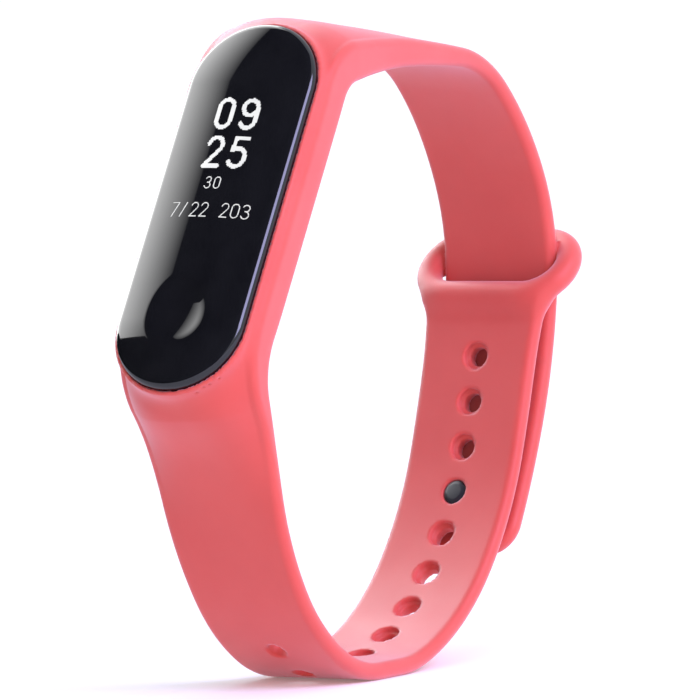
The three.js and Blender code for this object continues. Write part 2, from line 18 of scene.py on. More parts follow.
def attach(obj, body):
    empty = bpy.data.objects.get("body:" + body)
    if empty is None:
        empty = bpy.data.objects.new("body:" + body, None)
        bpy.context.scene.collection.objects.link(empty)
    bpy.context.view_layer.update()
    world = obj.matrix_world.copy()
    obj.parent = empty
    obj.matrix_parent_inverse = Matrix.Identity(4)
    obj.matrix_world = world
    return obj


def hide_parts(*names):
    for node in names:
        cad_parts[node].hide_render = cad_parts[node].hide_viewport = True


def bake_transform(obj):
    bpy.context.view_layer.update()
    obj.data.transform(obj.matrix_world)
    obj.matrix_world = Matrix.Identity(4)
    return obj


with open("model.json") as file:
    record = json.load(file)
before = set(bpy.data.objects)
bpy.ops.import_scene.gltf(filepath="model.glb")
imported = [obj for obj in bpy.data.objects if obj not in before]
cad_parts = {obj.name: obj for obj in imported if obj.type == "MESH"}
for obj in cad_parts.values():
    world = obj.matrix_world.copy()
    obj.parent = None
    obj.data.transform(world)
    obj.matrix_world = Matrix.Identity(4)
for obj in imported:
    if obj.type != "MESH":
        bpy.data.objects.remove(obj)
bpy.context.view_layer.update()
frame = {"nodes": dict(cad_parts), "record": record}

MM = 0.001
DEG = math.pi / 180
scene = bpy.context.scene

# ---------------------------------------------------------------- driving dimensions, in millimetres

# Tracker capsule, in its own axes: x up its length, y across, z out of the wrist.
FRAME_CENTRE = np.array([-20.106, 0, 52.433])
LEAN = 31.3 * DEG
TWIST = 4 * DEG
GLASS_REACH = 14.9
GLASS_RADIUS = 8.1
RIM_Z = 5.4
GLASS_RISE = 1.9
GLASS_EDGE = 0.9
SHOULDER = 0.8
TOUCH_X = -14.2
TOUCH_RADIUS = 4.4
TOUCH_DEPTH = 0.55
LEDGE_Z = 2.4
LIP_WALL = 0.5
BELLY_Z = -4.4
BELLY_REACH = 12.3
BELLY_RADIUS = 6.2
BELLY_ROUND = 1.6
SHELL_TOP = RIM_Z - 1.4
ROOM_REACH = 13
ROOM_RADIUS = 4.6
GLASS_WALL = 0.9
WINDOW_RADIUS = 6.35
SENSOR_X = -5
SENSOR_OPENING = 4.15
PIN_X = -13.4
PIN_Y = 2.6
PIN_OPENING = 0.8

# Turned parts on the tracker's skin side, as (radius, height over the belly) corners
SENSOR_PROFILE = [(0, -0.8), (3, -0.8), (4, -0.3), (4, 0.5), (0, 0.5)]
CONTACT_PROFILE = [(0, -0.05), (0.7, -0.05), (0.7, 1.2), (1.2, 1.2), (1.2, 1.5), (0, 1.5)]

# Rows of lit figures: text, left, bottom, height, spacing, stroke and the size of a lit square
DISPLAY_ROWS = [
    ("09", -2.65, 8.75, 4.0, 3.2, 0.5, 0.14),
    ("25", -2.65, 3.85, 4.1, 3.2, 0.5, 0.14),
    ("30", -1.4, 1.3, 1.5, 1.2, 0.1, 0.06),
    ("7/22 203", -4.9, -2.25, 1.8, 1.32, 0.1, 0.06),
]
FIGURE_WIDTH = 0.52
FIGURE_LIFT = 0.015
FIGURE_DEPTH = 0.02

# Band
THICKNESS = 2
HALF_WIDTH = 7.65
EDGE_ROUND = 0.95
LOWER_START = 13.6
UPPER_START = 15

# The skin-side line of each arm, from the frame outwards, as (length, turn in degrees) arcs.
LONG_ARCS = [(7.3, 49.4), (11.9, -3.6), (12, 17.4), (10.3, 26.1), (7.9, 32),
             (4, 0), (4.3, 17.8), (15.4, 30.7), (15, 21.2), (12, 3.8), (5.7, 0)]
SHORT_ARCS = [(1.6, 0), (4.4, -46.8), (13.4, -13), (10, -6.5), (9.2, -38.4),
              (13, -21.8), (13.2, -30.3), (15.1, -13.7), (17, -10)]
LEAD_IN = 20

# How each arm changes along its line, as (distance, value) knots.
LONG_HALF_WIDTH = [(0, 9.2), (5.6, 8.9), (9.5, 8.6), (14, 8.2), (20, 7.9),
                   (30, HALF_WIDTH), (101, HALF_WIDTH), (106, 8.2)]
LONG_EDGE = [(0, 4.6), (5.6, 3.5), (9.5, 2.2), (14, 2.05), (20, THICKNESS)]
LONG_CROWN = [(0, 0.2), (5.6, 4.4), (9.5, 2.6), (14, 1.1), (22, 0)]
SHORT_HALF_WIDTH = [(0, 9.2), (5, 8.9), (9, 8.6), (14, 8.3), (22, 8.15),
                    (32, 8.05), (42, 7.8), (52, HALF_WIDTH)]
SHORT_EDGE = [(0, 4.6), (5, 5.3), (9, 4.3), (14, 3.7), (20, 3.1), (26, 2.5), (34, THICKNESS)]
SHORT_CROWN = [(0, 0.2), (5, 2.2), (9, 1.3), (14, 0.6), (22, 0)]
LONG_TWIST = [(0, 4), (20, 1.5), (36, 0)]
SHORT_TWIST = [(0, 4), (8, 7), (22, 8), (38, 5), (52, 0)]
KNOT_BLUR = 2.5
KNOT_PITCH = 0.25
KNOT_REACH = 130

# Holes, keeper ring, tail and clasp
HOLE_COUNT = 12
FIRST_HOLE = 38.8
HOLE_PITCH = 5.5
STUD_HOLE = 8
HOLE_RADIUS = 1.15
STRETCHED_RADIUS = 1.5
COUNTERBORE_RADIUS = 1.6
COUNTERBORE_DEPTH = 0.7
LONG_END = 106
ARM_START = -16
RING_ROD = 1.5
RING_STRAIGHT = 5
RING_INNER = np.array([29.514, 0, 41.453])
RING_OUTER = np.array([36.104, 0, 47.153])
RING_NECK = 2.5
TAIL_SPLIT = 64
TAIL_PEEL = 68.4
TAIL_FLEX = 78.2
BEND_REACH = 2.4
TAIL_END = 96.9
TAIL_CORNER = 4
STUD_HEAD_RADIUS = 1.42
STUD_RADIUS = 0.9
STUD_LENGTH = 5.3
CAP_RADIUS = 4
CAP_THICKNESS = 1.3
CAP_LIFT = 4.8
CAP_NECK_RADIUS = 1.1

# How finely the fields are turned into meshes, and the fillet of most edges
BAND_CELL = 0.3
SHELL_CELL = 0.25
GLASS_CELL = 0.2
SOFT_EDGE = 0.2

# Studio, in metres and degrees
MIDDLE = (0.000932, 0, 0.0371)
CARD_RADIUS = 0.4
CARD_EDGE = 41.6
CARD_LAST = 125
CARD_LOW = -0.3
CARD_STEP = 0.09
CARD_HIGH = 0.9


# ---------------------------------------------------------------- fields

def smooth_min(a, b, size):
    """The lower of two fields, with a fillet where they meet."""
    overlap = np.maximum(size - np.abs(a - b), 0) / size
    return np.minimum(a, b) - overlap * overlap * size / 4


def smooth_max(a, b, size):
    return -smooth_min(-a, -b, size)


def stadium(x, y, reach, radius):
    """Distance from the outline of a slot shape that lies along x."""
    return np.hypot(np.maximum(np.abs(x) - reach, 0), y) - radius


def rounded(plan, height, radius):
    """A prism whose edges are rounded, from its plan distance and its height distance."""
    a, b = plan + radius, height + radius
    return np.minimum(np.maximum(a, b), 0) + np.hypot(np.maximum(a, 0), np.maximum(b, 0)) - radius


def slab(z, low, high):
    return np.maximum(low - z, z - high)


def curve_through(knots):
    """A smooth curve through knots, as a function of distance."""
    places = np.arange(-LEAD_IN - 10, KNOT_REACH, KNOT_PITCH)
    values = np.interp(places, [k[0] for k in knots], [k[1] for k in knots])
    half = int(3 * KNOT_BLUR / KNOT_PITCH)
    weights = np.exp(-0.5 * (np.arange(-half, half + 1) * KNOT_PITCH / KNOT_BLUR) ** 2)
    padded = np.pad(values, half, mode="edge")
    smooth = np.convolve(padded, weights / weights.sum(), mode="valid")
    return lambda distance: np.interp(distance, places, smooth)


# ---------------------------------------------------------------- the band's two arms

class Arm:
    """An arm of the band along its skin-side line in the XZ plane.

    side is +1 for the short, upper arm and -1 for the long one.
    """

    def __init__(self, side, start, arcs, half_width, edge, crown, twist):
        self.side = side
        self.half_width = curve_through(half_width)
        self.edge = curve_through(edge)
        self.crown = curve_through(crown)
        self.twist = curve_through(twist)
        heading = side * math.pi / 2 - LEAN
        reach = start - LEAD_IN
        x = FRAME_CENTRE[0] + math.cos(heading) * reach
        z = FRAME_CENTRE[2] + math.sin(heading) * reach
        self.pieces = []
        at = -LEAD_IN
        for length, turn in [(LEAD_IN, 0), *arcs]:
            bend = turn * DEG
            self.pieces.append((at, x, z, heading, length, bend))
            chord = length if abs(bend) < 1e-6 else 2 * length / bend * math.sin(bend / 2)
            x += chord * math.cos(heading + bend / 2)
            z += chord * math.sin(heading + bend / 2)
            heading += bend
            at += length
        self.pieces.append((at, x, z, heading, LEAD_IN, 0))

    def point(self, distance, lift=0):
        """A point over the line, with the line's forward and outward directions there."""
        at, x, z, heading, length, bend = [p for p in self.pieces if p[0] <= distance][-1]
        step = distance - at
        part = bend * step / length
        chord = step if abs(part) < 1e-6 else 2 * step / part * math.sin(part / 2)
        x += chord * math.cos(heading + part / 2)
        z += chord * math.sin(heading + part / 2)
        forward = np.array([math.cos(heading + part), 0, math.sin(heading + part)])
        outward = self.side * np.array([-forward[2], 0, forward[0]])
        return np.array([x, 0, z]) + lift * outward, forward, outward

    def locate(self, x, z):
        """Distance along the line and height over it, of the line's nearest place to (x, z)."""
        best = along = over = None
        for at, px, pz, heading, length, bend in self.pieces:
            c, s = math.cos(heading), math.sin(heading)
            dx, dz = x - px, z - pz
            ahead, left = dx * c + dz * s, dz * c - dx * s
            if abs(bend) < 1e-6:
                step = np.clip(ahead, 0, length)
                side = left + 0 * step
                gap = np.hypot(ahead - step, left)
            else:
                radius = length / bend
                angle = np.arctan2(ahead, (radius - left) * np.sign(radius))
                step = np.clip(angle * abs(radius), 0, length)
                turn = step / radius
                ex = ahead - radius * np.sin(turn)
                ez = left - radius * (1 - np.cos(turn))
                gap = np.hypot(ex, ez)
                side = ez * np.cos(turn) - ex * np.sin(turn)
            if best is None:
                best, along, over = gap, at + step, side
            else:
                nearer = gap < best
                best = np.where(nearer, gap, best)
                along = np.where(nearer, at + step, along)
                over = np.where(nearer, side, over)
        return along, over * self.side

    def coordinates(self, x, y, z):
        """Distance along, place across and height over, with the band's twist taken out."""
        along, over = self.locate(x, z)
        turn = self.twist(along) * DEG
        return along, y * np.cos(turn) + over * np.sin(turn), over * np.cos(turn) - y * np.sin(turn)

    def field(self, x, y, z, start, end, corner=0.5):
        """The arm from start to end along its line, with corners rounded in plan."""
        along, across, over = self.coordinates(x, y, z)
        half = self.half_width(along)
        share = np.clip(np.abs(across) / (half - EDGE_ROUND), 0, 1)
        top = self.edge(along) + self.crown(along) * (1 - share ** 3)
        middle = (start + end) / 2
        past_end = np.abs(along - middle) - (end - start) / 2 + corner
        past_side = np.abs(across) - half + corner
        plan = (np.minimum(np.maximum(past_end, past_side), 0)
                + np.hypot(np.maximum(past_end, 0), np.maximum(past_side, 0)) - corner)
        return rounded(plan, np.abs(over - top / 2) - top / 2, EDGE_ROUND)


long_arm = Arm(-1, LOWER_START, LONG_ARCS, LONG_HALF_WIDTH, LONG_EDGE, LONG_CROWN, LONG_TWIST)
short_arm = Arm(1, UPPER_START, SHORT_ARCS, SHORT_HALF_WIDTH, SHORT_EDGE, SHORT_CROWN, SHORT_TWIST)
stud_point, stud_forward, stud_outward = long_arm.point(FIRST_HOLE + STUD_HOLE * HOLE_PITCH)

# ---------------------------------------------------------------- the tracker's own axes

lean_turn = Matrix.Rotation(LEAN - math.pi / 2, 3, "Y")
TRACKER_TURN = np.array(lean_turn @ Matrix.Rotation(TWIST, 3, "X"))
tracker_matrix = Matrix.Translation(Vector(FRAME_CENTRE * MM)) @ Matrix(TRACKER_TURN.tolist()).to_4x4()


def to_tracker(x, y, z):
    offset = [x - FRAME_CENTRE[0], y - FRAME_CENTRE[1], z - FRAME_CENTRE[2]]
    return [sum(TRACKER_TURN[row][column] * offset[row] for row in range(3)) for column in range(3)]


# ---------------------------------------------------------------- meshes

def surface_net(field, low, high, cell):
    """Points and four-sided faces of a field's surface, one point in each cell that it crosses."""
    axes = [np.arange(a, b + cell, cell) for a, b in zip(low, high)]
    value = field(*np.meshgrid(*axes, indexing="ij", sparse=True))
    inside = value < 0
    shape = tuple(n - 1 for n in value.shape)
    count = np.zeros(shape, np.int8)
    for i, j, k in itertools.product((0, 1), repeat=3):
        count += inside[i:i + shape[0], j:j + shape[1], k:k + shape[2]]
    crossed = (count > 0) & (count < 8)
    cells = np.argwhere(crossed)
    number = np.full(shape, -1)
    number[crossed] = np.arange(len(cells))
    total = np.zeros((len(cells), 3))
    hits = np.zeros(len(cells))
    units = np.eye(3, dtype=int)
    for axis in range(3):
        step, u, v = units[axis], units[(axis + 1) % 3], units[(axis + 2) % 3]
        for i, j in itertools.product((0, 1), repeat=2):
            first = cells + i * u + j * v
            a = value[tuple(first.T)]
            b = value[tuple((first + step).T)]
            changes = (a < 0) != (b < 0)
            share = a[changes] / (a[changes] - b[changes])
            total[changes] += first[changes] + share[:, None] * step
            hits[changes] += 1
    points = np.array([axis[0] for axis in axes]) + cell * total / hits[:, None]
    faces = []
    for axis in range(3):
        ahead = np.roll(inside, -1, axis)
        changes = inside != ahead
        for edge in range(3):
            limit = [slice(None)] * 3
            limit[edge] = -1
            changes[tuple(limit)] = False
            limit[edge] = 0
            changes[tuple(limit)] = False
        first = np.argwhere(changes)
        out = inside[tuple(first.T)]
        u, v = units[(axis + 1) % 3], units[(axis + 2) % 3]
        quad = np.stack([number[tuple((first - back).T)] for back in (0 * u, u, u + v, v)], axis=1)
        faces.append(np.where(out[:, None], quad, quad[:, ::-1]))
    return points, np.concatenate(faces)


def slope(field, points):
    """A field's gradient at points."""
    step = 0.01
    parts = []
    for axis in range(3):
        move = np.zeros(3)
        move[axis] = step
        parts.append(field(*(points + move).T) - field(*(points - move).T))
    return np.stack(parts, axis=1) / (2 * step)


def mesh_object(name, points, faces, matrix=None):
    """An object from points in millimetres and a list of faces."""
    mesh = bpy.data.meshes.new(name)
    mesh.from_pydata((np.asarray(points) * MM).tolist(), [], faces)
    if matrix is not None:
        mesh.transform(matrix)
    mesh.shade_smooth()
    mesh.update()
    thing = bpy.data.objects.new(name, mesh)
    scene.collection.objects.link(thing)
    return thing


def moulded(name, field, low, high, cell, matrix=None, true_normals=False):
    """A mesh of a field's surface. Its points are drawn onto the surface itself."""
    points, faces = surface_net(field, low, high, cell)
    for _ in range(3):
        gradient = slope(field, points)
        size = np.maximum((gradient ** 2).sum(axis=1), 0.05)
        shift = -field(*points.T) / size
        points = points + np.clip(shift[:, None] * gradient, -cell / 2, cell / 2)
    thing = mesh_object(name, points, faces.tolist(), matrix)
    if true_normals:
        normals = slope(field, points)
        normals /= np.linalg.norm(normals, axis=1)[:, None]
        if matrix is not None:
            normals = normals @ np.array(matrix.to_3x3()).T
        thing.data.normals_split_custom_set_from_vertices(normals.tolist())
    return thing


def turned(name, profile, matrix=None, sides=72):
    """A solid of revolution about z, from (radius, z) points that start and end on the axis."""
    rings = [(r, z) for r, z in profile if r > 1e-6]
    points, faces = [], []
    for r, z in rings:
        for i in range(sides):
            angle = 2 * math.pi * i / sides
            points.append((r * math.cos(angle), r * math.sin(angle), z))
    for ring in range(len(rings) - 1):
        for i in range(sides):
            a, b = ring * sides + i, ring * sides + (i + 1) % sides
            faces.append((a, b, b + sides, a + sides))
    points += [(0, 0, profile[0][1]), (0, 0, profile[-1][1])]
    last = (len(rings) - 1) * sides
    for i in range(sides):
        after = (i + 1) % sides
        faces.append((after, i, len(points) - 2))
        faces.append((last + i, last + after, len(points) - 1))
    return mesh_object(name, points, faces, matrix)


def soft_profile(corners, radius):
    """A turned profile whose corners are rounded."""
    steps = 4
    out = [corners[0]]
    for before, corner, after in zip(corners, corners[1:], corners[2:]):
        here = np.array(corner, float)
        back, on = np.array(before) - here, np.array(after) - here
        cut = min(radius, np.linalg.norm(back) / 2.2, np.linalg.norm(on) / 2.2)
        a = here + back / np.linalg.norm(back) * cut
        b = here + on / np.linalg.norm(on) * cut
        for i in range(steps + 1):
            t = i / steps
            out.append(tuple((1 - t) ** 2 * a + 2 * t * (1 - t) * here + t * t * b))
    out.append(corners[-1])
    return out


def axes_matrix(point, forward, across, outward):
    """The matrix that puts x, y and z along three directions at a point given in millimetres."""
    turn = Matrix([list(row) for row in np.stack([forward, across, outward], axis=1)])
    return Matrix.Translation(Vector(point * MM)) @ turn.to_4x4()


# ---------------------------------------------------------------- the silicone

def hole_field(x, y, z):
    """All the stepped holes of the long arm at once: each place belongs to its nearest hole."""
    along, across, over = long_arm.coordinates(x, y, z)
    number = np.clip(np.round((along - FIRST_HOLE) / HOLE_PITCH), 0, HOLE_COUNT - 1)
    from_axis = np.hypot(along - FIRST_HOLE - number * HOLE_PITCH, across)
    stretched = number == STUD_HOLE
    bore = from_axis - np.where(stretched, STRETCHED_RADIUS, HOLE_RADIUS)
    counterbore = from_axis - np.where(stretched, STRETCHED_RADIUS, COUNTERBORE_RADIUS)
    counterbore = rounded(counterbore, over - COUNTERBORE_DEPTH, 0.1)
    return np.maximum(smooth_min(bore, counterbore, 0.1), np.abs(over) - 2 * THICKNESS)


def ring_field(x, y, z):
    """The keeper ring: a round rod bent into a slot shape."""
    middle = (RING_INNER + RING_OUTER) / 2
    rise = RING_OUTER - RING_INNER
    bend = np.linalg.norm(rise) / 2
    up = rise / (2 * bend)
    over = (x - middle[0]) * up[0] + (z - middle[2]) * up[2]
    out = (x - middle[0]) * up[2] - (z - middle[2]) * up[0]
    return np.hypot(stadium(y, over, RING_STRAIGHT, bend), out) - RING_ROD


def band_field(x, y, z):
    """The long arm, the ring and the short arm up to the tail, with the frame for the tracker."""
    lx, ly, lz = to_tracker(x, y, z)
    arm = long_arm.field(x, y, z, ARM_START, LONG_END)
    body = smooth_min(arm, ring_field(x, y, z), RING_NECK)
    point, forward, _ = short_arm.point(TAIL_SPLIT)
    past_split = (x - point[0]) * forward[0] + (z - point[2]) * forward[2]
    strap = np.maximum(short_arm.field(x, y, z, ARM_START, TAIL_SPLIT + 3), past_split)
    body = np.minimum(body, strap)
    lip_plan = stadium(lx, ly, GLASS_REACH, GLASS_RADIUS + LIP_WALL)
    lip = rounded(lip_plan, slab(lz, LEDGE_Z - 1, RIM_Z), 0.25)
    body = smooth_min(body, lip, 0.9)
    pocket = np.maximum(stadium(lx, ly, GLASS_REACH, GLASS_RADIUS + 0.02), LEDGE_Z - lz)
    window = np.maximum(stadium(lx, ly, BELLY_REACH, WINDOW_RADIUS), np.abs(lz) - 8)
    body = smooth_max(body, -pocket, 0.12)
    body = smooth_max(body, -window, 0.5)
    return smooth_max(body, -hole_field(x, y, z), SOFT_EDGE)


def tail_field(x, y, z):
    """The tail, from under the ring to its free end, with the hole for the stud."""
    dx, dz = x - stud_point[0], z - stud_point[2]
    out = dx * stud_outward[0] + dz * stud_outward[2]
    over = dx * stud_outward[2] - dz * stud_outward[0]
    shaft = np.hypot(over, y) - STUD_RADIUS - 0.1
    shaft = np.maximum(shaft, np.abs(out) - CAP_LIFT - 4)
    strap = short_arm.field(x, y, z, TAIL_SPLIT - 4, TAIL_END, TAIL_CORNER) - 0.01
    return smooth_max(strap, -shaft, SOFT_EDGE)


def cut_flat(thing, point, normal):
    """Keeps the part of a mesh behind a plane, and closes it with a flat face."""
    bm = bmesh.new()
    bm.from_mesh(thing.data)
    geometry = [*bm.verts, *bm.edges, *bm.faces]
    cut = bmesh.ops.bisect_plane(bm, geom=geometry, dist=1e-7, plane_co=Vector(point * MM),
                                 plane_no=Vector(normal), clear_outer=True)
    rim = [e for e in cut["geom_cut"] if isinstance(e, bmesh.types.BMEdge)]
    filled = bmesh.ops.holes_fill(bm, edges=rim, sides=0)
    for face in filled["faces"]:
        face.smooth = False
    for edge in rim:
        edge.smooth = False
    bmesh.ops.recalc_face_normals(bm, faces=bm.faces)
    bm.to_mesh(thing.data)
    bm.free()


def copy_of(thing, name):
    twin = bpy.data.objects.new(name, thing.data.copy())
    scene.collection.objects.link(twin)
    return twin


band = moulded("band_silicone", band_field, [-38.5, -12.5, -1], [38.5, 12.5, 76.5], BAND_CELL)
tail = moulded("tail_upper_silicone", tail_field, [15, -9, 8], [38, 9, 56], BAND_CELL)
start_point, start_forward, _ = short_arm.point(TAIL_SPLIT - 0.35)
cut_flat(tail, start_point, -start_forward)
join_point, join_forward, _ = short_arm.point((TAIL_PEEL + TAIL_FLEX) / 2)
tail_end = copy_of(tail, "tail_tip_silicone")
cut_flat(tail, join_point, join_forward)
cut_flat(tail_end, join_point, -join_forward)


# ---------------------------------------------------------------- glass, shell and display

def dome_height(x, y):
    """Height of the glass's outer face over the tracker's middle plane, dimple left out."""
    inward = np.maximum(1 + stadium(x, y, GLASS_REACH, GLASS_RADIUS) / GLASS_RADIUS, 0)
    return RIM_Z + GLASS_EDGE + (GLASS_RISE - GLASS_EDGE) * (1 - inward ** 2)


def dome_field(x, y, z, inset):
    """A slot shape under a gently bowed top with rounded shoulders."""
    wall = stadium(x, y, GLASS_REACH, GLASS_RADIUS) + inset
    return smooth_max(wall, z - dome_height(x, y) + inset, SHOULDER)


def touch_ball(x, y, z):
    """The large ball that presses the touch dimple into the glass."""
    ball = (TOUCH_RADIUS ** 2 + TOUCH_DEPTH ** 2) / (2 * TOUCH_DEPTH)
    centre = RIM_Z + GLASS_RISE - TOUCH_DEPTH + ball
    return np.sqrt((x - TOUCH_X) ** 2 + y ** 2 + (z - centre) ** 2) - ball


def glass_field(x, y, z):
    """The face glass: a thin hollow dome with the dimple pressed through both faces."""
    outer = smooth_max(dome_field(x, y, z, 0), RIM_Z - 0.3 - z, SOFT_EDGE)
    outer = smooth_max(outer, -touch_ball(x, y, z), 0.25)
    hollow = np.maximum(dome_field(x, y, z, GLASS_WALL), GLASS_WALL - touch_ball(x, y, z))
    return smooth_max(outer, -hollow, SOFT_EDGE)


def shell_field(x, y, z):
    """The tracker's open-topped shell, with openings for the sensor and the charge contacts."""
    upper_plan = stadium(x, y, GLASS_REACH, GLASS_RADIUS - 0.3)
    upper = rounded(upper_plan, slab(z, LEDGE_Z + 0.3, SHELL_TOP), 0.25)
    belly = rounded(stadium(x, y, BELLY_REACH, BELLY_RADIUS), slab(z, BELLY_Z, SHELL_TOP), BELLY_ROUND)
    body = smooth_min(upper, belly, 0.6)
    room = np.maximum(stadium(x, y, GLASS_REACH, GLASS_RADIUS - 1.2), LEDGE_Z + 1 - z)
    lower_room = np.maximum(stadium(x, y, ROOM_REACH, ROOM_RADIUS), BELLY_Z + 0.9 - z)
    body = np.maximum(body, -np.minimum(room, lower_room))
    through = np.abs(z - BELLY_Z) - 2
    sensor = np.maximum(np.hypot(x - SENSOR_X, y) - SENSOR_OPENING, through)
    contacts = np.maximum(np.hypot(x - PIN_X, np.abs(y) - PIN_Y) - PIN_OPENING, through)
    return smooth_max(smooth_max(body, -sensor, SOFT_EDGE), -contacts, SOFT_EDGE)


glass = moulded("face_glass", glass_field, [-24, -9, 4.6], [24, 9, 7.8], GLASS_CELL, tracker_matrix, True)
shell = moulded("capsule_shell", shell_field, [-24, -9, -5.5], [24, 9, 4.6], SHELL_CELL, tracker_matrix)


def tracker_at(x, y, z):
    return tracker_matrix @ Matrix.Translation(Vector((x, y, z)) * MM)


sensor_glass = turned("sensor_glass", soft_profile(SENSOR_PROFILE, 0.3), tracker_at(SENSOR_X, 0, BELLY_Z))
pins = []
for label, side in (("left", 1), ("right", -1)):
    place = tracker_at(PIN_X, side * PIN_Y, BELLY_Z)
    pins.append(turned(f"charge_contact_{label}", soft_profile(CONTACT_PROFILE, 0.12), place, 40))


def bow(x, y, wide, tall, start, stop):
    """Points along part of an ellipse."""
    turns = np.linspace(start, stop, 14) * DEG
    return [(x + wide * math.cos(t), y + tall * math.sin(t)) for t in turns]


# Each figure as strokes in a box FIGURE_WIDTH wide and 1 tall
FIGURES = {
    "0": [[*bow(.26, .74, .26, .26, 180, 0), *bow(.26, .26, .26, .26, 0, -180), (0, .74)]],
    "2": [[*bow(.26, .74, .25, .26, 170, -35), (0, 0), (.52, 0)]],
    "3": [[*bow(.25, .76, .24, .24, 160, -90), (.2, .52)], bow(.25, .26, .27, .26, 90, -160)],
    "5": [[(.5, 1), (.08, 1), (.04, .56), *bow(.24, .32, .28, .32, 115, -150)]],
    "7": [[(0, 1), (.5, 1), (.1, 0)]],
    "9": [bow(.26, .73, .26, .27, 0, 360), [(.52, .73), *bow(.26, .28, .26, .28, 0, -155)]],
    "/": [[(0, 0), (.36, 1)]],
    " ": [],
}


def figure_row(text, left, bottom, height, spacing, stroke, pixel):
    """Lit squares of a row of figures, as (x, y) corners in the tracker's axes."""
    squares = []
    for place, figure in enumerate(text):
        origin = left + place * spacing
        columns = np.arange(-stroke, FIGURE_WIDTH * height + stroke, pixel)
        rows = np.arange(-stroke, height + stroke, pixel)
        across, up = np.meshgrid(columns, rows, indexing="ij")
        lit = np.zeros(across.shape, bool)
        for line in FIGURES[figure]:
            for (ax, ay), (bx, by) in zip(line, line[1:]):
                a = np.array([ax, ay]) * (height - stroke) + [stroke / 2, stroke / 2]
                run = np.array([bx - ax, by - ay]) * (height - stroke)
                ahead = (across - a[0]) * run[0] + (up - a[1]) * run[1]
                share = np.clip(ahead / (run @ run + 1e-9), 0, 1)
                near = np.hypot(across - a[0] - share * run[0], up - a[1] - share * run[1])
                lit |= near < stroke / 2
        squares += [(bottom + up[i, j], -(origin + across[i, j]), pixel) for i, j in np.argwhere(lit)]
    return squares


def display_figures():
    """The lit figures: a thin layer of small squares that follows the glass."""
    bm = bmesh.new()
    for x, y, size in itertools.chain(*(figure_row(*row) for row in DISPLAY_ROWS)):
        corners = [(x, y), (x, y - size), (x + size, y - size), (x + size, y)]
        verts = [bm.verts.new((a, b, dome_height(a, b) + FIGURE_LIFT)) for a, b in corners]
        bm.faces.new(verts)
    bmesh.ops.remove_doubles(bm, verts=bm.verts, dist=0.01)
    bmesh.ops.recalc_face_normals(bm, faces=bm.faces)
    grown = bmesh.ops.extrude_face_region(bm, geom=list(bm.faces))
    moved = [v for v in grown["geom"] if isinstance(v, bmesh.types.BMVert)]
    bmesh.ops.translate(bm, verts=moved, vec=(0, 0, FIGURE_DEPTH))
    bmesh.ops.recalc_face_normals(bm, faces=bm.faces)
    bmesh.ops.scale(bm, verts=bm.verts, vec=(MM, MM, MM))
    mesh = bpy.data.meshes.new("display_figures")
    bm.to_mesh(mesh)
    bm.free()
    mesh.transform(tracker_matrix)
    thing = bpy.data.objects.new("display_figures", mesh)
    scene.collection.objects.link(thing)
    return thing


figures = display_figures()

# ---------------------------------------------------------------- clasp

stud_across = np.cross(stud_outward, stud_forward)
stud_matrix = axes_matrix(stud_point, stud_forward, stud_across, stud_outward)
stud = turned("stud_knob", soft_profile([
    (0, 0), (1, 0.02), (1.15, 0.12), (STUD_HEAD_RADIUS, 0.2), (STUD_HEAD_RADIUS, 0.65), (STUD_RADIUS, 0.85),
    (STUD_RADIUS, STUD_LENGTH), (0, STUD_LENGTH)], 0.12), stud_matrix)
stud_disc = turned("clasp_disc", soft_profile([
    (0, STUD_LENGTH + 0.05), (CAP_NECK_RADIUS, STUD_LENGTH + 0.05), (CAP_NECK_RADIUS, CAP_LIFT),
    (CAP_RADIUS, CAP_LIFT), (CAP_RADIUS, CAP_LIFT + 0.8), (CAP_RADIUS - 0.5, CAP_LIFT + CAP_THICKNESS),
    (0, CAP_LIFT + CAP_THICKNESS + 0.2)], 0.25), stud_matrix)


# ---------------------------------------------------------------- materials

def nodes_of(name):
    """A new material, with its node tree and its surface node."""
    made = bpy.data.materials.new(name)
    made.use_nodes = True
    tree = made.node_tree
    return made, tree, tree.nodes["Principled BSDF"]


def noise(tree, size, detail=2, stretch=None):
    """A noise whose features are about size millimetres across."""
    place = tree.nodes.new("ShaderNodeTexCoord")
    source = place.outputs["Object"]
    if stretch:
        mapping = tree.nodes.new("ShaderNodeMapping")
        mapping.inputs["Scale"].default_value = stretch
        tree.links.new(source, mapping.inputs["Vector"])
        source = mapping.outputs["Vector"]
    texture = tree.nodes.new("ShaderNodeTexNoise")
    texture.inputs["Scale"].default_value = 1 / (size * MM)
    texture.inputs["Detail"].default_value = detail
    tree.links.new(source, texture.inputs["Vector"])
    return texture.outputs["Fac"]


def spread(tree, value, low, high):
    """Maps a noise onto a range."""
    node = tree.nodes.new("ShaderNodeMapRange")
    node.inputs["From Min"].default_value = 0.3
    node.inputs["From Max"].default_value = 0.7
    node.inputs["To Min"].default_value = low
    node.inputs["To Max"].default_value = high
    tree.links.new(value, node.inputs["Value"])
    return node.outputs["Result"]


def blend_colours(tree, value, first, second):
    node = tree.nodes.new("ShaderNodeMix")
    node.data_type = "RGBA"
    node.inputs["A"].default_value = (*first, 1)
    node.inputs["B"].default_value = (*second, 1)
    tree.links.new(value, node.inputs["Factor"])
    return node.outputs["Result"]


def bumps(tree, value, height):
    """A normal from a noise that stands height millimetres proud."""
    node = tree.nodes.new("ShaderNodeBump")
    node.inputs["Distance"].default_value = height * MM
    tree.links.new(value, node.inputs["Height"])
    return node.outputs["Normal"]


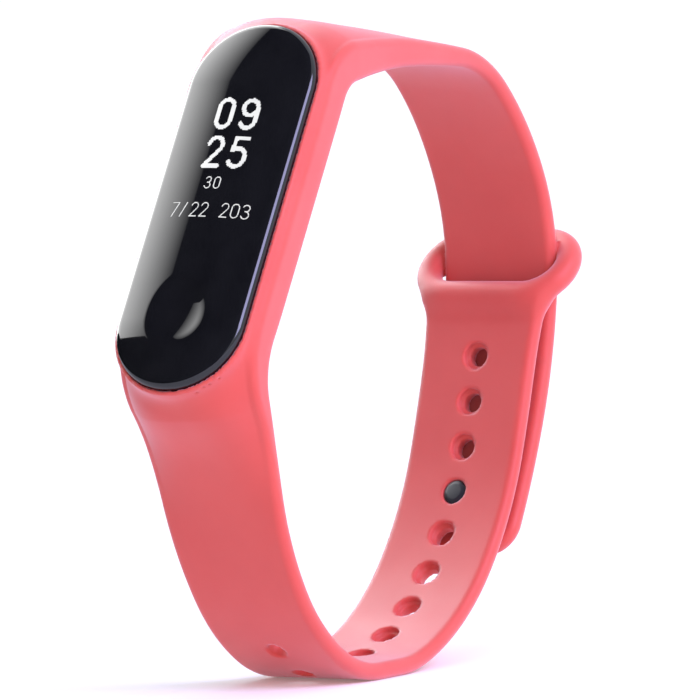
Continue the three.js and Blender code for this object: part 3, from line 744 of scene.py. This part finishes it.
def textured(name, first, second, patch, rough, grain, height, metallic=0, stretch=None):
    """A material with colour patches, uneven roughness and a fine grain.

    patch, grain and height are in millimetres, and rough is the range of the roughness.
    """
    made, tree, bsdf = nodes_of(name)
    patches = noise(tree, patch, 4, stretch)
    mixed = blend_colours(tree, spread(tree, patches, 0, 1), first, second)
    tree.links.new(mixed, bsdf.inputs["Base Color"])
    tree.links.new(spread(tree, noise(tree, patch * 0.6, 3, stretch), *rough), bsdf.inputs["Roughness"])
    tree.links.new(bumps(tree, noise(tree, grain, 3, stretch), height), bsdf.inputs["Normal"])
    bsdf.inputs["Metallic"].default_value = metallic
    return made


def silicone_material():
    """Coral silicone: light scatters under its matte surface, which has a fine moulded grain."""
    made = textured("coral_silicone", (0.635, 0.064, 0.049), (0.675, 0.076, 0.059),
                    9, (0.5, 0.58), 0.16, 0.006)
    bsdf = made.node_tree.nodes["Principled BSDF"]
    bsdf.inputs["Subsurface Weight"].default_value = 0.35
    bsdf.inputs["Subsurface Radius"].default_value = (1.0, 0.35, 0.3)
    bsdf.inputs["Subsurface Scale"].default_value = 1.2 * MM
    bsdf.inputs["Specular IOR Level"].default_value = 0.4
    bsdf.inputs["Sheen Weight"].default_value = 0.45
    bsdf.inputs["Sheen Roughness"].default_value = 0.5
    bsdf.inputs["Sheen Tint"].default_value = (1, 0.8, 0.95, 1)
    return made


def figure_material():
    """Lit white figures."""
    made, tree, bsdf = nodes_of("lit_figures")
    patches = spread(tree, noise(tree, 1.5), 0, 1)
    glow = blend_colours(tree, patches, (0.85, 0.86, 0.88), (0.95, 0.95, 0.95))
    tree.links.new(glow, bsdf.inputs["Emission Color"])
    bsdf.inputs["Emission Strength"].default_value = 0.95
    bsdf.inputs["Base Color"].default_value = (0.02, 0.02, 0.02, 1)
    bsdf.inputs["Roughness"].default_value = 0.4
    return made


# The finish of each of the record's material slots
SLOT_MATERIALS = {
    "silicone": silicone_material(),
    "lens_black": textured("black_face", (0.006, 0.006, 0.007), (0.009, 0.009, 0.010),
                           4, (0.02, 0.05), 5, 0.0004),
    "shell_black": textured("shell_black", (0.018, 0.018, 0.020), (0.026, 0.026, 0.028),
                            3, (0.38, 0.5), 0.12, 0.006),
    "stud_black": textured("satin_black_metal", (0.020, 0.022, 0.027), (0.032, 0.034, 0.040),
                           2, (0.34, 0.46), 0.1, 0.004, 0.35),
    "screen": textured("display_panel_glass", (0.010, 0.012, 0.018), (0.016, 0.018, 0.026),
                       3, (0.08, 0.15), 1, 0.0005),
    "board_green": textured("solder_mask", (0.012, 0.09, 0.035), (0.02, 0.14, 0.055),
                            1.2, (0.3, 0.42), 0.3, 0.012),
    "chip_black": textured("chip_epoxy", (0.018, 0.018, 0.019), (0.03, 0.03, 0.031),
                           0.8, (0.5, 0.65), 0.08, 0.006),
    "steel": textured("drawn_steel", (0.52, 0.53, 0.55), (0.64, 0.65, 0.67),
                      1.5, (0.22, 0.36), 0.3, 0.003, 1, (1, 8, 1)),
    "gold": textured("gold_plate", (0.70, 0.46, 0.16), (0.82, 0.58, 0.26),
                     0.8, (0.2, 0.32), 0.1, 0.003, 1),
    "foil": textured("pouch_foil", (0.60, 0.61, 0.63), (0.72, 0.73, 0.75),
                     2, (0.25, 0.42), 0.9, 0.05, 0.95),
    "amber_film": textured("amber_film", (0.42, 0.15, 0.025), (0.56, 0.23, 0.05),
                           2, (0.2, 0.32), 0.5, 0.004),
    "foam": textured("black_foam", (0.028, 0.028, 0.03), (0.055, 0.055, 0.058),
                     0.3, (0.85, 0.98), 0.18, 0.06),
    "led_lens": textured("led_lens", (0.25, 0.72, 0.30), (0.42, 0.88, 0.46),
                         0.5, (0.1, 0.2), 0.2, 0.004),
}


def dress(thing, material):
    thing.data.materials.clear()
    thing.data.materials.append(material)


for row in frame["record"]["subparts"]:
    dress(frame["nodes"][row["node"]], SLOT_MATERIALS[row["material_slot"]])


def stands_for(thing, node, slot, material=None):
    """Gives a new piece its finish, and hides the CAD node that it stands for, if one is named."""
    dress(thing, material or SLOT_MATERIALS[slot])
    if node:
        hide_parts(node)


stands_for(band, "wrist_band", "silicone")
stands_for(tail, "tail_strap", "silicone")
stands_for(tail_end, "tail_tip", "silicone")
stands_for(glass, "lens_cover", "lens_black")
stands_for(shell, "capsule_housing", "shell_black")
stands_for(sensor_glass, "sensor_window", "lens_black")
stands_for(pins[0], "charge_pin_left", "gold")
stands_for(pins[1], "charge_pin_right", "gold")
stands_for(stud, "clasp_stud", "stud_black")
stands_for(stud_disc, "clasp_cap", "stud_black")
stands_for(figures, None, "screen", figure_material())

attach(band, "band")
for piece in (glass, shell, sensor_glass, *pins, figures):
    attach(piece, "capsule")
for piece in (stud, stud_disc):
    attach(piece, "tail_end")


def blend_over(thing, distance):
    """Bakes a strap's placement into its mesh; the points either side of a place along the short arm are
    worked out but not used.
    """
    start, _, _ = short_arm.point(distance - BEND_REACH, THICKNESS / 2)
    end, _, _ = short_arm.point(distance + BEND_REACH, THICKNESS / 2)
    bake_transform(thing)


blend_over(tail, TAIL_PEEL)
blend_over(tail_end, TAIL_FLEX)


# ---------------------------------------------------------------- studio

def camera_at(target, azimuth, elevation, roll, distance, lens):
    """A camera on the same bearing convention as the frame: azimuth 0 looks along +Y."""
    az, el = azimuth * DEG, elevation * DEG
    back = Vector((-math.sin(az) * math.cos(el), -math.cos(az) * math.cos(el), math.sin(el)))
    level = Vector((math.cos(az), -math.sin(az), 0))
    right = level * math.cos(roll * DEG) + back.cross(level) * math.sin(roll * DEG)
    up = back.cross(right)
    data = bpy.data.cameras.new("camera")
    data.sensor_width = 36
    data.lens = lens
    data.clip_start = 0.01
    camera = bpy.data.objects.new("camera", data)
    turn = Matrix([[right[i], up[i], back[i]] for i in range(3)]).to_4x4()
    camera.matrix_world = Matrix.Translation(Vector(target) + back * distance) @ turn
    scene.collection.objects.link(camera)
    scene.camera = camera


def plain(name, colour, glow=0):
    """A matte studio surface, which may glow a little."""
    made, _, bsdf = nodes_of(name)
    bsdf.inputs["Base Color"].default_value = (*colour, 1)
    bsdf.inputs["Roughness"].default_value = 0.9
    bsdf.inputs["Specular IOR Level"].default_value = 0
    bsdf.inputs["Emission Color"].default_value = (*colour, 1)
    bsdf.inputs["Emission Strength"].default_value = glow
    return made


def sheet(name, centre, towards, width, height, material):
    """A flat panel that faces a point."""
    mesh = bpy.data.meshes.new(name)
    x, y = width / 2, height / 2
    mesh.from_pydata([(-x, -y, 0), (x, -y, 0), (x, y, 0), (-x, y, 0)], [], [(0, 1, 2, 3)])
    mesh.materials.append(material)
    thing = bpy.data.objects.new(name, mesh)
    turn = (Vector(towards) - Vector(centre)).to_track_quat("Z", "Y").to_matrix().to_4x4()
    thing.matrix_world = Matrix.Translation(Vector(centre)) @ turn
    scene.collection.objects.link(thing)
    return thing


def lamp(name, centre, towards, size, watts, colour):
    """A square area lamp that faces a point."""
    data = bpy.data.lights.new(name, "AREA")
    data.size = size
    data.energy = watts
    data.color = colour
    thing = bpy.data.objects.new(name, data)
    turn = (Vector(towards) - Vector(centre)).to_track_quat("-Z", "Y").to_matrix().to_4x4()
    thing.matrix_world = Matrix.Translation(Vector(centre)) @ turn
    scene.collection.objects.link(thing)


def curved_card(name, first_turn, last_turn, low, high, material):
    """Part of a wide tube round the tracker's length, which only reflections see.

    Turns are in degrees from the tracker's z axis, and low and high are along its length.
    """
    steps = 24
    points, faces = [], []
    for step in range(steps + 1):
        turn = (first_turn + (last_turn - first_turn) * step / steps) * DEG
        y, z = CARD_RADIUS * math.sin(turn), CARD_RADIUS * math.cos(turn)
        points += [(low, y, z), (high, y, z)]
    for step in range(steps):
        first = 2 * step
        faces.append((first, first + 1, first + 3, first + 2))
    mesh = bpy.data.meshes.new(name)
    mesh.from_pydata(points, [], faces)
    mesh.transform(tracker_matrix)
    mesh.materials.append(material)
    card = bpy.data.objects.new(name, mesh)
    scene.collection.objects.link(card)
    card.visible_camera = False
    card.visible_diffuse = False
    card.visible_transmission = False
    card.visible_shadow = False


def fading_light(name, first_turn, last_turn, first_glow, last_glow):
    """An emissive card material that brightens with the turn round the tracker's length."""
    made, tree, bsdf = nodes_of(name)
    bsdf.inputs["Base Color"].default_value = (0, 0, 0, 1)
    bsdf.inputs["Specular IOR Level"].default_value = 0
    bsdf.inputs["Emission Color"].default_value = (1, 1, 1, 1)
    place = tree.nodes.new("ShaderNodeTexCoord")
    centre = tree.nodes.new("ShaderNodeVectorMath")
    centre.operation = "SUBTRACT"
    centre.inputs[1].default_value = tuple(FRAME_CENTRE * MM)
    tree.links.new(place.outputs["Object"], centre.inputs[0])
    parts = []
    for column in (1, 2):
        dot = tree.nodes.new("ShaderNodeVectorMath")
        dot.operation = "DOT_PRODUCT"
        dot.inputs[1].default_value = tuple(TRACKER_TURN[:, column])
        tree.links.new(centre.outputs["Vector"], dot.inputs[0])
        parts.append(dot.outputs["Value"])
    turn = tree.nodes.new("ShaderNodeMath")
    turn.operation = "ARCTAN2"
    tree.links.new(parts[0], turn.inputs[0])
    tree.links.new(parts[1], turn.inputs[1])
    ramp = tree.nodes.new("ShaderNodeMapRange")
    ramp.inputs["From Min"].default_value = first_turn * DEG
    ramp.inputs["From Max"].default_value = last_turn * DEG
    ramp.inputs["To Min"].default_value = first_glow
    ramp.inputs["To Max"].default_value = last_glow
    tree.links.new(turn.outputs["Value"], ramp.inputs["Value"])
    tree.links.new(ramp.outputs["Result"], bsdf.inputs["Emission Strength"])
    return made


camera_at(MIDDLE, azimuth=55.694, elevation=3.971, roll=-2.255, distance=0.957365, lens=429.11)
sheet("floor", (0, 0, 0), (0, 0, 1), 12, 12, plain("floor_white", (0.9, 0.9, 0.9), glow=0.15))

world = bpy.data.worlds.new("studio")
world.use_nodes = True
world.node_tree.nodes["Background"].inputs["Color"].default_value = (1, 1.05, 1.15, 1)
world.node_tree.nodes["Background"].inputs["Strength"].default_value = 1.0
scene.world = world

# The glass reflects black cards and one soft light, whose edge draws the line down the face
flag_black = plain("flag_black", (0.002, 0.002, 0.002))
soft_glow = fading_light("soft_glow", CARD_EDGE, 60, 0.5, 7.8)
curved_card("dark_card", -44, CARD_EDGE, CARD_LOW, CARD_HIGH, flag_black)
curved_card("soft_card", CARD_EDGE, CARD_LAST, CARD_STEP, CARD_HIGH, soft_glow)
curved_card("dark_end", CARD_EDGE, CARD_LAST, CARD_LOW, CARD_STEP, flag_black)
left_card = sheet("left_card", (-0.26, 0.38, 0.3), MIDDLE, 0.56, 0.56, flag_black)
left_card.visible_camera = False
left_card.visible_shadow = False
lamp("key", (-0.12, -0.8, 0.55), MIDDLE, 0.5, 5.5, (1, 0.95, 1.7))

scene.view_settings.view_transform = "Standard"
